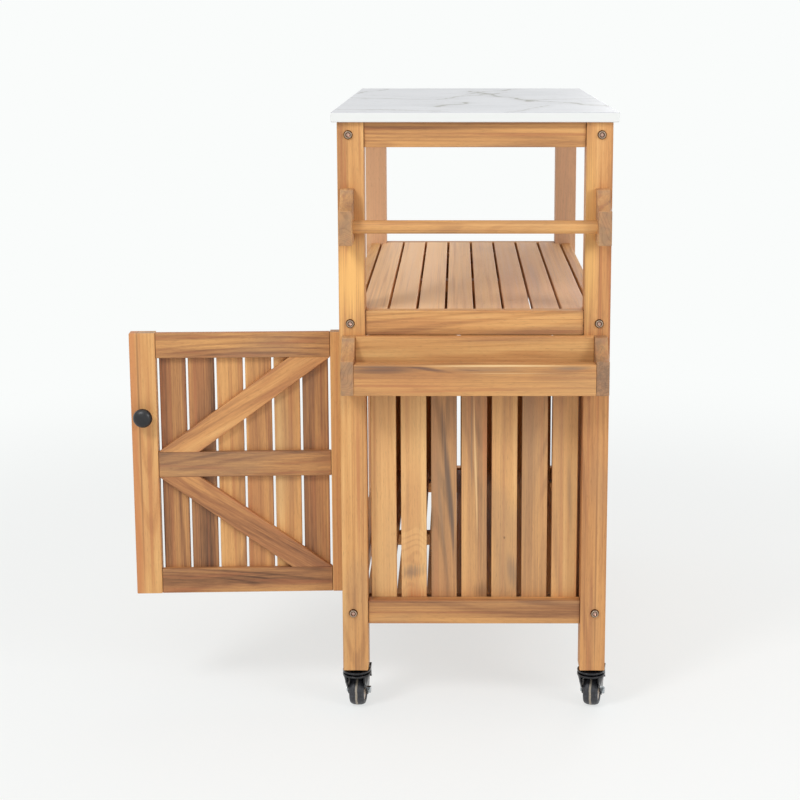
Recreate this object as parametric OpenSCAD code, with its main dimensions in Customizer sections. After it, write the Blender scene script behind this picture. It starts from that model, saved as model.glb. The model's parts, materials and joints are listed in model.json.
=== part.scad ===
// Rolling bar cart: a bolted timber frame on four casters, with a stone-look top, an open shelf,
// a slatted cabinet with two braced doors, and a towel rail and a spice rack on one end.
// X runs along the cart towards the racks, the doors are on the -Y side, and Z is up.

/* [Overall] */
// Length over the legs
cart_length = 830; // [700:5:1100]
// Depth over the legs
cart_depth = 414; // [360:2:520]
// Height of the worktop above the floor
cart_height = 950; // [900:5:1050]
// Height of the shelf's top face above the floor
shelf_height = 648; // [600:2:700]
// Height of the cabinet floor's top face above the floor
floor_height = 184.5; // [160:0.5:230]

/* [Worktop] */
// Thickness of the top slab
slab_thickness = 15; // [10:1:30]
// How far the slab reaches past the legs all round
slab_overhang = 8.5; // [0:0.5:30]

/* [Frame timber] */
// Side of a square leg
leg_width = 40; // [34:1:50]
// Height of every rail
rail_height = 38; // [30:1:50]
// Thickness of a rail across an end
end_rail_thickness = 20; // [16:1:24]
// How far an end rail lies behind the legs' end faces
end_rail_setback = 5; // [2:1:8]
// Thickness of a rail along the cart
long_rail_thickness = 18; // [16:1:22]
// How far a long rail lies behind the legs' outer faces
long_rail_setback = 10; // [6:1:12]
// Width of the post between the doors
post_width = 34; // [28:1:50]
// Depth of the post between the doors
post_depth = 40; // [30:1:60]

/* [Joinery] */
// Length of a tenon on an end rail
tenon_length = 16; // [8:1:18]
// Thickness of a tenon
tenon_thickness = 8; // [6:1:10]
// Height of a tenon
tenon_height = 24; // [16:1:26]
// Play around a tenon, and between a slat's end and the timber it meets
fit_gap = 0.3; // [0.2:0.1:0.6]
// Thread diameter of a frame bolt
bolt_diameter = 6; // [5:0.5:7]
// Length of a frame bolt under its head
bolt_length = 85; // [70:1:100]
// Diameter of a bolt head
bolt_head_diameter = 14; // [12:0.5:16]
// Height of a bolt head
bolt_head_height = 3.6; // [3:0.2:5]
// Width across the flats of the hexagon socket
bolt_socket = 5; // [4:0.5:6]
// Distance of a bolt from the leg's outer face
bolt_inset = 17; // [15:1:20]
// Diameter of a cross dowel nut
nut_diameter = 10; // [9:0.5:13]
// Length of a cross dowel nut
nut_length = 16; // [13:1:16]
// Distance of a cross dowel nut from the bolt's tip
nut_tip_distance = 12; // [8:1:20]

/* [Slats] */
// Width of a slat
slat_width = 40; // [34:1:44]
// Thickness of a slat
slat_thickness = 15; // [10:1:18]
// Number of slats in the shelf
shelf_slat_count = 8; // [6:1:8]
// Number of slats in the cabinet floor
floor_slat_count = 7; // [5:1:7]
// Number of slats in an end panel
end_slat_count = 7; // [5:1:7]
// Number of slats in the back panel
back_slat_count = 16; // [12:1:16]
// Gap between an outer panel slat and the leg beside it
panel_side_gap = 4.8; // [2:0.2:8]
// How far a panel slat's foot stands above the bottom rail's underside
panel_foot = 3.5; // [2:0.5:10]
// Width of a batten under the slats and the slab
batten_width = 30; // [20:1:40]
// Thickness of a batten
batten_thickness = 20; // [15:1:22]
// Distance of an outer batten from the nearest leg
batten_inset = 15; // [5:1:60]

/* [Doors] */
// Thickness of a door
door_thickness = 22; // [18:1:24]
// How far a closed door lies behind the legs' outer faces
door_recess = 28; // [24:1:32]
// Gap above and below a door
door_gap = 2.2; // [1.5:0.1:4]
// Gap between a door and the post
meeting_gap = 2; // [1.5:0.1:4]
// Width of a door stile
stile_width = 40; // [34:1:50]
// Height of a door rail
door_rail_height = 40; // [34:1:50]
// Thickness of a door's rails and braces
door_rail_thickness = 10; // [8:0.5:11]
// How far rails and braces lie behind the stiles' face
door_rail_setback = 1.5; // [0.5:0.5:3]
// Width of a diagonal brace
brace_width = 37.5; // [30:0.5:45]
// Number of slats in a door
door_slat_count = 6; // [5:1:6]
// Gap beside each door slat
door_slat_gap = 4; // [2:0.5:8]
// How far a door slat's ends stop short of the door's top and bottom
door_slat_inset = 12; // [4:1:20]
// Diameter of a knob
knob_diameter = 30; // [24:1:36]
// How far a knob stands out
knob_height = 25; // [20:1:28]
// Diameter of a knob's neck
knob_neck = 14; // [10:1:16]
// Distance of a knob below the door's top edge
knob_drop = 131; // [60:1:200]
// Diameter of the screw that holds a knob
knob_screw = 4; // [3:0.5:5]
// Height of that screw's head
screw_head_height = 2.5; // [2:0.1:3]
// Angle at which the door beside the racks stands open
open_angle = 92.5; // [60:0.5:97]

/* [Hinges and catches] */
// Gap between a door and its leg
hinge_gap = 5.4; // [5:0.2:7]
// Height of a hinge
hinge_height = 50; // [40:1:70]
// Thickness of a hinge leaf
leaf_thickness = 1.2; // [1:0.1:1.6]
// Depth of a hinge leaf behind the door's face
leaf_depth = 12; // [8:1:12]
// Outer radius of a hinge knuckle
knuckle_radius = 2.5; // [2.3:0.1:2.6]
// How far a knuckle stands clear of the door's face
knuckle_stand_off = 0.5; // [0.2:0.1:1]
// Gap between two knuckles on one pin
knuckle_play = 0.2; // [0.1:0.05:0.4]
// Radius of a hinge pin
hinge_pin_radius = 1.25; // [1:0.05:1.5]
// Play between a pin and the knuckle that turns on it
running_gap = 0.05; // [0.02:0.01:0.1]
// Distance of a hinge from the door's end
hinge_end_distance = 45; // [30:1:80]
// Width of a magnetic catch
catch_width = 14; // [10:1:18]
// Depth of a magnetic catch
catch_depth = 12; // [8:1:15]
// Height of a magnetic catch
catch_height = 40; // [30:1:50]
// Thickness of a strike plate
strike_thickness = 1.2; // [1:0.1:2]

/* [Racks] */
// Thickness of a rack bracket
bracket_thickness = 20; // [15:1:24]
// Distance of a bracket from the leg's outer face
bracket_inset = 5; // [0:1:8]
// How far a bracket stands out from the legs
bracket_depth = 60; // [52:1:80]
// Radius of the hollow above a bracket's front
bracket_hollow = 43; // [36:1:44]
// Overall height of a towel bracket
towel_bracket_height = 80; // [74:1:90]
// Height of a towel bracket's front
towel_front_height = 52; // [46:1:56]
// Height of the towel brackets' underside above the shelf
towel_bracket_rise = 108; // [40:2:150]
// Diameter of the towel rod
rod_diameter = 20; // [16:1:24]
// Distance of the rod's centre from the legs
rod_distance = 30; // [24:1:34]
// Height of the rod's centre above the brackets' underside
rod_rise = 25; // [20:1:30]
// Depth of the rod's seat in a bracket
rod_seat = 10; // [6:1:13]
// Overall height of a spice bracket
spice_bracket_height = 82; // [76:1:90]
// Height of a spice bracket's front
spice_front_height = 53; // [48:1:58]
// Distance from the shelf's top face down to the spice brackets
spice_bracket_drop = 37; // [32:1:90]
// Height of the spice rack's front board
spice_board_height = 48; // [42:1:50]
// Thickness of the spice rack's front board
spice_board_thickness = 20; // [15:1:24]
// Thickness of the spice rack's back and floor boards
spice_panel_thickness = 12; // [9:1:15]
// Height of the front board's lip above the spice rack's floor
spice_lip = 30; // [16:1:30]

/* [Casters] */
// Height of a caster, floor to leg
caster_height = 70; // [66:1:80]
// Diameter of a wheel
wheel_diameter = 50; // [44:1:52]
// Width of a wheel
wheel_width = 24; // [18:1:26]
// Diameter of a wheel's hub
hub_diameter = 34; // [28:1:38]
// Diameter of a wheel's axle bolt
axle_diameter = 6; // [5:0.5:8]
// How far a wheel trails behind its swivel axis
trail = 16; // [12:1:18]
// Clear gap on each side of a wheel
wheel_side_gap = 1.5; // [1:0.5:3]
// Thickness of the fork's cheeks
cheek_thickness = 2.6; // [2:0.2:3]
// Diameter of the swivel's upper race
race_diameter = 44; // [38:1:48]
// Height of the swivel's upper race above the fork
race_height = 6; // [4:0.5:7]
// Thickness of the fork's crown
crown_thickness = 3; // [2:0.5:4]
// Height of the hexagon under the leg
hexagon_height = 4; // [3:0.5:6]
// Width across the flats of the hexagon
hexagon_width = 16; // [13:1:19]
// Gap between the upper race and the fork
race_gap = 0.3; // [0.2:0.1:0.4]
// Diameter of an axle bolt's head
axle_head_width = 10; // [10:1:13]
// Height of an axle bolt's head
axle_head_height = 2.5; // [2:0.5:3]
// Width across the flats of an axle bolt's nut
axle_nut_width = 10; // [10:1:13]
// Height of an axle bolt's nut
axle_nut_height = 4; // [3:0.5:5]
// Width of a hub's step below the tyre's side
hub_step = 2; // [1:0.5:4]
// Size of the slope at a tyre's shoulder
tyre_shoulder = 4; // [2:0.5:5]
// Distance of the brake pedal's pivot behind the wheel's axle
pedal_setback = 14; // [12:1:16]
// Width of the brake pedal
pedal_width = 33; // [28:1:38]
// Diameter of a caster's threaded stem
stem_diameter = 8; // [6:1:10]
// Length of a stem inside the leg
stem_length = 32; // [20:1:45]
// Angle of a swivel's turn on the rack end, front then back
rack_end_yaw = [-6, -13]; // [-30:1:30]
// Angle of a swivel's turn on the plain end, front then back
plain_end_yaw = [171, 168]; // [150:1:210]

/* [Hidden] */
$fn = 48;
overlap = 1;

// Planes of the frame, with the cart centred on X = 0 and Y = 0
end_face = cart_length / 2;
side_face = cart_depth / 2;
leg_end_inner = end_face - leg_width;
leg_side_inner = side_face - leg_width;
end_rail_outer = end_face - end_rail_setback;
end_rail_inner = end_rail_outer - end_rail_thickness;
long_rail_outer = side_face - long_rail_setback;
long_rail_inner = long_rail_outer - long_rail_thickness;
frame_top = cart_height - slab_thickness;
rail_tops = [frame_top, shelf_height, floor_height];
top_rail_base = frame_top - rail_height;
middle_rail_base = shelf_height - rail_height;
bottom_rail_base = floor_height - rail_height;
bolt_side = side_face - bolt_inset;
bolt_tip = end_face - bolt_length;
nut_end_position = bolt_tip + nut_tip_distance;
bolt_head_crown = bolt_head_diameter - 3;

// Slat panels
shelf_underside = shelf_height - slat_thickness;
floor_underside = floor_height - slat_thickness;
end_panel_inner = end_rail_inner - slat_thickness;
back_panel_inner = long_rail_inner - slat_thickness;
panel_base = bottom_rail_base + panel_foot;
panel_top = shelf_underside - fit_gap;
floor_slat_end = end_panel_inner - fit_gap;
batten_reach = leg_end_inner - batten_inset - batten_width / 2;

// Doors, in each door's own frame: the hinge pin is the origin, the door runs along +U and
// the door's face looks along -V
pin_side = side_face - door_recess + knuckle_radius + knuckle_stand_off;
pin_end = leg_end_inner - hinge_gap / 2;
door_face = pin_side - (side_face - door_recess);
door_start = hinge_gap / 2;
door_width = leg_end_inner - hinge_gap - meeting_gap - post_width / 2;
door_end = door_start + door_width;
door_back = door_face + door_thickness;
door_base = floor_height + door_gap;
door_top = middle_rail_base - door_gap;
door_height = door_top - door_base;
door_inner_width = door_width - 2 * stile_width;
door_slat_width = (door_inner_width - (door_slat_count + 1) * door_slat_gap) / door_slat_count;
door_slat_face = door_face + door_rail_setback + door_rail_thickness;
middle_door_rail_base = (door_base + door_top - door_rail_height) / 2;
knob_end = door_end - stile_width / 2;
knob_level = door_top - knob_drop;
catch_level = knob_level - 2 * knob_screw - catch_height;
strike_start = door_end + meeting_gap - 1.5 * catch_width;
post_face = side_face - door_recess;
post_back = post_face - post_depth;
catch_face = post_face - door_thickness - strike_thickness - fit_gap;
knuckle_third = hinge_height / 3;

// Racks
bracket_outer = side_face - bracket_inset;
bracket_inner = bracket_outer - bracket_thickness;
towel_bracket_base = shelf_height + towel_bracket_rise;
spice_bracket_base = shelf_height - spice_bracket_drop - spice_bracket_height;
spice_floor_top = spice_bracket_base + spice_board_height - spice_lip;

// Casters
axle_level = wheel_diameter / 2;
caster_end = end_face - leg_width / 2;
caster_side = side_face - leg_width / 2;
cheek_inner = wheel_width / 2 + wheel_side_gap;
cheek_outer = cheek_inner + cheek_thickness;
crown_top = caster_height - hexagon_height - race_height;
crown_base = crown_top - crown_thickness;
race_radius = race_diameter / 2;
axle_radius = axle_diameter / 2;
axle_boss = axle_diameter + 2;
pedal_pin_radius = 1.6;
pedal_boss = pedal_pin_radius + 1.4;
pedal_level = crown_base - 7;
pedal_pivot = trail + pedal_setback;
fork_tail = pedal_pivot + 4;
rivet_head_width = stem_diameter + 5;
rivet_head_height = 2.5;

// The origin is the middle of the floor area that the cart covers with the door open
open_turn = [cos(open_angle), sin(open_angle)];
open_corners = [for (v = [door_face, door_back]) -door_end * open_turn[1] + v * open_turn[0]];
part_front = -pin_side + min(open_corners);
part_back = side_face + slab_overhang;
part_left = -end_face - slab_overhang;
part_right = end_face + bracket_depth;
origin_shift = [-(part_left + part_right) / 2, -(part_front + part_back) / 2, 0];

oak = [0.80, 0.58, 0.34];
honey = [0.86, 0.64, 0.38];
walnut = [0.66, 0.47, 0.33];
bronze = [0.42, 0.34, 0.24];
black_metal = [0.12, 0.12, 0.13];
steel = [0.75, 0.75, 0.77];

module in_part_frame() {
    translate(origin_shift) children();
}

module block(low, high) {
    translate(low) cube(high - low);
}

module x_cylinder(r, x0, x1) {
    translate([x0, 0, 0]) rotate([0, 90, 0]) cylinder(r = r, h = x1 - x0);
}

module y_cylinder(r, y0, y1) {
    translate([0, y0, 0]) rotate([-90, 0, 0]) cylinder(r = r, h = y1 - y0);
}

// Worktop
module worktop() {
    reach_x = end_face + slab_overhang;
    reach_y = side_face + slab_overhang;
    in_part_frame() color([0.93, 0.93, 0.92])
        block([-reach_x, -reach_y, frame_top], [reach_x, reach_y, cart_height]);
}

module batten(x, y0, y1, top) {
    block([x - batten_width / 2, y0, top - batten_thickness], [x + batten_width / 2, y1, top]);
}

module battens() {
    in_part_frame() color(oak)
        for (x = [-batten_reach, 0, batten_reach]) {
            batten(x, -long_rail_inner, long_rail_inner, frame_top);
            batten(x, x == 0 ? -post_back : -long_rail_inner, back_panel_inner, shelf_underside);
            batten(x, -long_rail_inner, back_panel_inner, floor_underside);
        }
}

// Frame
// A tenon's bar through an end rail at one height, made larger by extra on its four long faces
module tenon(middle, extra, y0, y1) {
    center = end_rail_inner + end_rail_thickness / 2;
    half_thickness = tenon_thickness / 2 + extra;
    half_height = tenon_height / 2 + extra;
    block([center - half_thickness, y0, middle - half_height],
          [center + half_thickness, y1, middle + half_height]);
}

module leg_stock() {
    difference() {
        block([leg_end_inner, leg_side_inner, caster_height], [end_face, side_face, frame_top]);
        for (top = rail_tops) {
            middle = top - rail_height / 2;
            tenon(middle, fit_gap / 2, 0, leg_side_inner + tenon_length + fit_gap);
            translate([0, bolt_side, middle])
                x_cylinder(bolt_diameter / 2 + fit_gap / 2, leg_end_inner - overlap, end_face + overlap);
        }
        translate([caster_end, caster_side, caster_height - overlap])
            cylinder(d = stem_diameter, h = stem_length + overlap);
    }
}

module leg(end, side) {
    in_part_frame() color(oak) to_corner(end, side) leg_stock();
}

// Mirrors a piece drawn at the +X, +Y corner to another corner
module to_corner(end, side) {
    mirror([end < 0 ? 1 : 0, 0, 0]) mirror([0, side < 0 ? 1 : 0, 0]) children();
}

module front_right_leg() {
    leg(1, -1);
}

module back_right_leg() {
    leg(1, 1);
}

module front_left_leg() {
    leg(-1, -1);
}

module back_left_leg() {
    leg(-1, 1);
}

module long_rail(side, top) {
    middle = top - rail_height / 2;
    in_part_frame() color(honey) to_corner(1, side)
        difference() {
            block([-leg_end_inner, long_rail_inner, top - rail_height],
                  [leg_end_inner, long_rail_outer, top]);
            for (end = [-1, 1])
                to_corner(end, 1) {
                    translate([0, bolt_side, middle])
                        x_cylinder(bolt_diameter / 2, bolt_tip, leg_end_inner + overlap);
                    translate([nut_end_position, 0, middle])
                        y_cylinder(nut_diameter / 2, long_rail_inner - overlap,
                                   long_rail_inner + nut_length + fit_gap);
                }
        }
}

module top_front_rail() {
    long_rail(-1, frame_top);
}

module top_back_rail() {
    long_rail(1, frame_top);
}

module middle_front_rail() {
    long_rail(-1, shelf_height);
}

module middle_back_rail() {
    long_rail(1, shelf_height);
}

module bottom_front_rail() {
    long_rail(-1, floor_height);
}

module bottom_back_rail() {
    long_rail(1, floor_height);
}

module end_rails(top) {
    tenon_side = leg_side_inner + tenon_length;
    in_part_frame() color(honey)
        for (end = [-1, 1])
            to_corner(end, 1) {
                block([end_rail_inner, -leg_side_inner, top - rail_height],
                      [end_rail_outer, leg_side_inner, top]);
                tenon(top - rail_height / 2, 0, -tenon_side, tenon_side);
            }
}

module top_end_rails() {
    end_rails(frame_top);
}

module middle_end_rails() {
    end_rails(shelf_height);
}

module bottom_end_rails() {
    end_rails(floor_height);
}

module center_post() {
    half = post_width / 2;
    in_part_frame() color(oak)
        union() {
            block([-half, -post_face, floor_height], [half, -post_back, middle_rail_base]);
            block([-half, -long_rail_inner, floor_height], [half, -post_back, shelf_underside]);
        }
}

// A bolt through a leg's end face into the end of a long rail
module frame_bolt() {
    difference() {
        union() {
            x_cylinder(bolt_diameter / 2, bolt_tip, end_face + overlap);
            translate([end_face, 0, 0]) rotate([0, 90, 0])
                cylinder(d1 = bolt_head_diameter, d2 = bolt_head_crown, h = bolt_head_height);
        }
        translate([end_face + bolt_head_height / 3, 0, 0]) rotate([0, 90, 0])
            cylinder(d = bolt_socket / cos(30), h = bolt_head_height, $fn = 6);
    }
}

module at_frame_bolts() {
    for (end = [-1, 1], side = [-1, 1], top = rail_tops)
        to_corner(end, side) translate([0, bolt_side, top - rail_height / 2]) children();
}

module frame_bolts() {
    in_part_frame() color(bronze) at_frame_bolts() frame_bolt();
}

module cross_dowel_nuts() {
    in_part_frame() color(steel)
        at_frame_bolts()
            difference() {
                translate([nut_end_position, long_rail_inner - bolt_side, 0])
                    y_cylinder(nut_diameter / 2, fit_gap, nut_length);
                x_cylinder(bolt_diameter / 2, bolt_tip - overlap, leg_end_inner);
            }
}

// Slats
function row_gap(span, count, edge) = (span - count * slat_width - 2 * edge) / (count - 1);

function row_starts(from, span, count, edge) =
    [for (i = [0 : count - 1]) from + edge + i * (slat_width + row_gap(span, count, edge))];

module shelf_slats() {
    span = 2 * long_rail_inner;
    edge = (span - shelf_slat_count * slat_width) / (shelf_slat_count + 1);
    reach = end_rail_inner - fit_gap;
    in_part_frame() color(honey)
        difference() {
            for (y = row_starts(-long_rail_inner, span, shelf_slat_count, edge))
                block([-reach, y, shelf_underside], [reach, y + slat_width, shelf_height]);
            for (end = [-1, 1], side = [-1, 1])
                to_corner(end, side)
                    block([leg_end_inner - fit_gap, leg_side_inner - fit_gap, shelf_underside - overlap],
                          [end_face, side_face, shelf_height + overlap]);
        }
}

module floor_slats() {
    span = long_rail_inner + back_panel_inner;
    edge = (span - floor_slat_count * slat_width) / (floor_slat_count + 1);
    in_part_frame() color(oak)
        for (y = row_starts(-long_rail_inner, span, floor_slat_count, edge))
            block([-floor_slat_end, y, floor_underside], [floor_slat_end, y + slat_width, floor_height]);
}

module end_panel(end) {
    in_part_frame() color(honey) to_corner(end, 1)
        for (y = row_starts(-leg_side_inner, 2 * leg_side_inner, end_slat_count, panel_side_gap))
            block([end_panel_inner, y, panel_base], [end_rail_inner, y + slat_width, panel_top]);
}

module right_panel_slats() {
    end_panel(1);
}

module left_panel_slats() {
    end_panel(-1);
}

module back_panel_slats() {
    in_part_frame() color(oak)
        for (x = row_starts(-leg_end_inner, 2 * leg_end_inner, back_slat_count, panel_side_gap))
            block([x, back_panel_inner, panel_base], [x + slat_width, long_rail_inner, panel_top]);
}

// Doors
// Places a piece drawn in a door's own frame. The door beside the racks stands open.
module on_right_door() {
    in_part_frame() translate([pin_end, -pin_side, 0])
        rotate([0, 0, open_angle]) mirror([1, 0, 0]) children();
}

module on_left_door() {
    in_part_frame() translate([-pin_end, -pin_side, 0]) children();
}

module door_stiles() {
    for (u = [door_start, door_end - stile_width])
        block([u, door_face, door_base], [u + stile_width, door_back, door_top]);
}

module door_rails() {
    for (z = [door_base, middle_door_rail_base, door_top - door_rail_height])
        block([door_start + stile_width, door_face + door_rail_setback, z],
              [door_end - stile_width, door_slat_face, z + door_rail_height]);
}

// Length of a brace's horizontal end cut, for a brace of width w in a panel l long and h high
function end_cut(w, l, h) =
    (sqrt(pow(w, 4) * l * l + (h * h - w * w) * w * w * (h * h + l * l)) - w * w * l) / (h * h - w * w);

module upper_brace() {
    base = middle_door_rail_base + door_rail_height;
    rise = door_top - door_rail_height - base;
    cut = end_cut(brace_width, door_inner_width, rise);
    translate([door_start + stile_width, door_slat_face, base]) rotate([90, 0, 0])
        linear_extrude(door_rail_thickness)
            polygon([[0, rise], [cut, rise], [door_inner_width, 0], [door_inner_width - cut, 0]]);
}

module door_braces() {
    upper_brace();
    translate([0, 0, door_base + door_top]) mirror([0, 0, 1]) upper_brace();
}

module door_slats() {
    for (i = [0 : door_slat_count - 1]) {
        u = door_start + stile_width + door_slat_gap + i * (door_slat_width + door_slat_gap);
        block([u, door_slat_face, door_base + door_slat_inset],
              [u + door_slat_width, door_back, door_top - door_slat_inset]);
    }
}

module door_knob() {
    neck = knob_neck / 2;
    rim = knob_diameter / 2;
    translate([knob_end, door_face, knob_level]) rotate([90, 0, 0])
        rotate_extrude()
            polygon([[0, 0], [neck, 0], [neck - 1.5, knob_height * 0.3], [neck - 1, knob_height * 0.45],
                     [rim - 2, knob_height * 0.55], [rim, knob_height * 0.68],
                     [rim - 1.5, knob_height * 0.84], [rim * 0.6, knob_height * 0.96], [0, knob_height]]);
}

module door_stiles_drilled() {
    difference() {
        door_stiles();
        translate([knob_end, 0, knob_level])
            y_cylinder(knob_screw / 2, door_face - overlap, door_back + overlap);
    }
}

module knob_with_screw() {
    door_knob();
    translate([knob_end, 0, knob_level]) {
        y_cylinder(knob_screw / 2, door_face, door_back);
        y_cylinder(knob_screw, door_back, door_back + screw_head_height);
    }
}

function hinge_levels() = [door_base + hinge_end_distance, door_top - hinge_end_distance - hinge_height];

// One hinge leaf with its knuckles, on the side of the pin given by direction
module hinge_leaf(direction, knuckle_spans, bore) {
    outer = direction * hinge_gap / 2;
    inner = outer - direction * leaf_thickness;
    low = min(outer, inner);
    high = max(outer, inner);
    difference() {
        union() {
            block([low, door_face, 0], [high, door_face + leaf_depth, hinge_height]);
            for (span = knuckle_spans) {
                translate([0, 0, span[0]]) cylinder(r = knuckle_radius, h = span[1] - span[0]);
                block([low, 0, span[0]], [high, door_face + overlap, span[1]]);
            }
        }
        if (bore)
            translate([0, 0, -overlap])
                cylinder(r = hinge_pin_radius + running_gap, h = hinge_height + 2 * overlap);
    }
}

module moving_leaves() {
    for (z = hinge_levels())
        translate([0, 0, z])
            hinge_leaf(1, [[knuckle_third, 2 * knuckle_third]], true);
}

module fixed_leaves() {
    low_span = [0, knuckle_third - knuckle_play];
    high_span = [2 * knuckle_third + knuckle_play, hinge_height];
    for (z = hinge_levels())
        translate([0, 0, z]) {
            hinge_leaf(-1, [low_span, high_span], false);
            cylinder(r = hinge_pin_radius, h = hinge_height);
        }
}

module strike_plate() {
    block([strike_start, door_back, catch_level],
          [door_end - overlap, door_back + strike_thickness, catch_level + catch_height]);
}

module right_door_stiles() {
    color(honey) on_right_door() door_stiles_drilled();
}

module right_door_rails() {
    color(walnut) on_right_door() door_rails();
}

module right_door_braces() {
    color(walnut) on_right_door() door_braces();
}

module right_door_slats() {
    color(walnut) on_right_door() door_slats();
}

module right_door_knob() {
    color(black_metal) on_right_door() knob_with_screw();
}

module right_door_hinges() {
    color(black_metal) on_right_door() moving_leaves();
}

module right_door_strike() {
    color(steel) on_right_door() strike_plate();
}

module left_door_stiles() {
    color(honey) on_left_door() door_stiles_drilled();
}

module left_door_rails() {
    color(walnut) on_left_door() door_rails();
}

module left_door_braces() {
    color(walnut) on_left_door() door_braces();
}

module left_door_slats() {
    color(walnut) on_left_door() door_slats();
}

module left_door_knob() {
    color(black_metal) on_left_door() knob_with_screw();
}

module left_door_hinges() {
    color(black_metal) on_left_door() moving_leaves();
}

module left_door_strike() {
    color(steel) on_left_door() strike_plate();
}

module leg_hinges() {
    color(black_metal) in_part_frame()
        for (end = [-1, 1])
            to_corner(-end, 1) translate([-pin_end, -pin_side, 0]) fixed_leaves();
}

module magnetic_catches() {
    color(black_metal) in_part_frame()
        for (end = [-1, 1])
            to_corner(end, 1)
                block([post_width / 2, -catch_face, catch_level],
                      [post_width / 2 + catch_width, catch_depth - catch_face,
                       catch_level + catch_height]);
}

// Racks
module bracket_outline(height, front_height) {
    difference() {
        square([bracket_depth, height]);
        translate([bracket_depth, front_height + bracket_hollow]) circle(r = bracket_hollow, $fn = 96);
    }
}

module bracket(height, front_height) {
    translate([end_face, bracket_outer, 0]) rotate([90, 0, 0])
        linear_extrude(bracket_thickness) bracket_outline(height, front_height);
}

module rod_line(extra) {
    translate([end_face + rod_distance, 0, towel_bracket_base + rod_rise])
        y_cylinder(rod_diameter / 2 + extra, -bracket_inner - rod_seat, bracket_inner + rod_seat);
}

module rack_brackets() {
    color(walnut) in_part_frame()
        for (side = [-1, 1])
            to_corner(1, side) {
                difference() {
                    translate([0, 0, towel_bracket_base])
                        bracket(towel_bracket_height, towel_front_height);
                    rod_line(0);
                }
                translate([0, 0, spice_bracket_base])
                    bracket(spice_bracket_height, spice_front_height);
            }
}

module towel_rod() {
    color(honey) in_part_frame() rod_line(0);
}

module spice_board(x0, x1, z0, z1) {
    block([x0, -bracket_inner, z0], [x1, bracket_inner, z1]);
}

module spice_front_board() {
    color(honey) in_part_frame()
        spice_board(part_right - spice_board_thickness, part_right,
                    spice_bracket_base, spice_bracket_base + spice_board_height);
}

module spice_floor_board() {
    color(walnut) in_part_frame()
        spice_board(end_face + spice_panel_thickness, part_right - spice_board_thickness,
                    spice_floor_top - spice_panel_thickness, spice_floor_top);
}

module spice_back_board() {
    color(honey) in_part_frame()
        spice_board(end_face, end_face + spice_panel_thickness,
                    spice_bracket_base, spice_bracket_base + spice_bracket_height);
}

// Casters, each drawn with its swivel axis on Z and its wheel trailing along -X
module at_caster(end, side) {
    yaw = (end > 0 ? rack_end_yaw : plain_end_yaw)[side > 0 ? 1 : 0];
    in_part_frame() translate([end * caster_end, side * caster_side, 0]) rotate([0, 0, yaw]) children();
}

// The stem, its hexagon and the upper race, with the rivet that holds the fork up
module caster_stem() {
    race_top = crown_top + race_height;
    translate([0, 0, caster_height]) cylinder(d = stem_diameter, h = stem_length);
    translate([0, 0, race_top])
        cylinder(d = hexagon_width / cos(30), h = hexagon_height, $fn = 6);
    translate([0, 0, crown_top + race_gap + race_height / 2])
        cylinder(r = race_radius, h = race_height / 2 - race_gap);
    translate([0, 0, crown_top + race_gap])
        cylinder(r1 = race_radius - 3, r2 = race_radius, h = race_height / 2);
    translate([0, 0, crown_base - race_gap - overlap])
        cylinder(d = stem_diameter, h = crown_thickness + race_height);
    translate([0, 0, crown_base - race_gap - rivet_head_height])
        cylinder(d = rivet_head_width, h = rivet_head_height);
}

module caster_stems() {
    color(black_metal)
        for (end = [-1, 1], side = [-1, 1])
            at_caster(end, side) union() caster_stem();
}

module cheek_outline() {
    drop = crown_base - axle_level;
    front = race_radius - 6;
    polygon([[front, overlap], [front, -drop * 0.28], [-trail + axle_boss, -drop],
             [-trail - axle_boss, -drop], [-fork_tail, -drop * 0.38], [-fork_tail, overlap]]);
    translate([-trail, -drop]) circle(r = axle_boss);
}

// The round shoulder that narrows from the crown down to the cheeks
module fork_shoulder() {
    low = (crown_base + axle_level - axle_boss) / 2;
    difference() {
        rotate_extrude()
            polygon([[race_radius - cheek_thickness, crown_base + overlap],
                     [race_radius, crown_base + overlap], [cheek_outer, low],
                     [cheek_outer - cheek_thickness, low]]);
        block([-race_diameter, -cheek_inner, low - overlap],
              [race_diameter, cheek_inner, crown_base]);
    }
}

module fork() {
    difference() {
        union() {
            translate([0, 0, crown_base]) cylinder(r = race_radius, h = crown_thickness);
            block([-fork_tail, -cheek_outer, crown_base], [0, cheek_outer, crown_top - race_gap]);
            for (side = [-1, 1])
                translate([0, side > 0 ? cheek_outer : -cheek_inner, crown_base])
                    rotate([90, 0, 0]) linear_extrude(cheek_thickness) cheek_outline();
            fork_shoulder();
        }
        cylinder(d = stem_diameter + 2 * running_gap, h = caster_height);
        translate([-trail, 0, axle_level])
            y_cylinder(axle_radius + running_gap, -cheek_outer - overlap, cheek_outer + overlap);
        translate([-pedal_pivot, 0, pedal_level])
            y_cylinder(pedal_pin_radius + running_gap, -cheek_outer - overlap, cheek_outer + overlap);
    }
    axle();
}

// The bolt that a wheel turns on, with its head and nut outside the cheeks
module axle() {
    seat = cheek_outer + running_gap;
    translate([-trail, 0, axle_level]) {
        y_cylinder(axle_radius, -seat - overlap, seat + overlap);
        y_cylinder(axle_head_width / 2, -seat - axle_head_height, -seat);
        translate([0, seat, 0]) rotate([-90, 0, 0])
            cylinder(d = axle_nut_width / cos(30), h = axle_nut_height, $fn = 6);
    }
}

module hub() {
    half = wheel_width / 2;
    translate([-trail, 0, axle_level])
        difference() {
            union() {
                y_cylinder(hub_diameter / 2, hub_step - half, half - hub_step);
                y_cylinder(axle_diameter, -half, half);
            }
            y_cylinder(axle_radius + running_gap, -wheel_width, wheel_width);
        }
}

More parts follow.
